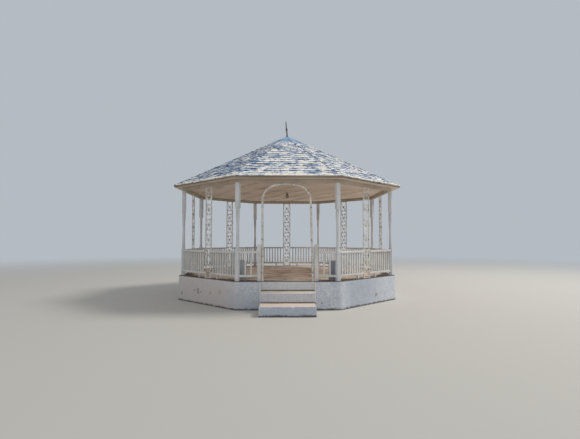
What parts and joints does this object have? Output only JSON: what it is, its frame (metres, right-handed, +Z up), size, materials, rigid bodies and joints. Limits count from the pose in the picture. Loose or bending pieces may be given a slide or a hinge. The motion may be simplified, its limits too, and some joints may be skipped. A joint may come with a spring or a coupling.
{
  "type": "gazebo",
  "caption": "Octagonal open gazebo on a plastered platform with front steps, turned posts, flat ironwork columns, baluster railings and a low eight-sided roof.",
  "frame": {"origin": "centre of the octagon at ground level, on the underside of the platform", "axes": "+Z up, -Y out through the entrance and its steps, +X to the right of someone facing the entrance"},
  "size_m": [6.5624, 7.3165, 5.5563],
  "materials": {
    "plaster": "matte",
    "concrete": "matte",
    "post_paint": "satin",
    "iron_paint": "satin",
    "rail_paint": "satin",
    "beam_paint": "matte",
    "ceiling_board": "matte",
    "roof_shingle": "matte",
    "cap_sheet": "satin",
    "dark_iron": "matte",
    "lantern_pane": "satin"
  },
  "bodies": {
    "root": {"base_wall": "plaster", "step_upper": "plaster", "step_lower": "plaster", "corner_block_left": "plaster", "corner_block_right": "plaster", "base_fill": "concrete", "floor_slab": "concrete", "post_right_back": "post_paint", "post_back_right": "post_paint", "post_back_left": "post_paint", "post_left_back": "post_paint", "post_left_front": "post_paint", "post_front_left": "post_paint", "post_front_right": "post_paint", "post_right_front": "post_paint", "iron_column_right": "iron_paint", "iron_column_back_right": "iron_paint", "iron_column_back": "iron_paint", "iron_column_back_left": "iron_paint", "iron_column_left": "iron_paint", "iron_column_front_left": "iron_paint", "iron_column_front_right": "iron_paint", "entrance_arch": "iron_paint", "railing_right": "rail_paint", "railing_back_right": "rail_paint", "railing_back": "rail_paint", "railing_back_left": "rail_paint", "railing_left": "rail_paint", "railing_front_left": "rail_paint", "railing_front_right": "rail_paint", "entrance_railing_left": "rail_paint", "entrance_railing_right": "rail_paint", "newel_left": "rail_paint", "newel_right": "rail_paint", "header_beams_square": "beam_paint", "header_beams_diagonal": "beam_paint", "ceiling": "ceiling_board", "roof_panels_square": "roof_shingle", "roof_panels_diagonal": "roof_shingle", "hip_caps": "roof_shingle", "apex_cap": "cap_sheet", "finial": "dark_iron", "lantern_frame": "dark_iron", "lantern_glass": "lantern_pane"}
  },
  "joints": []
}
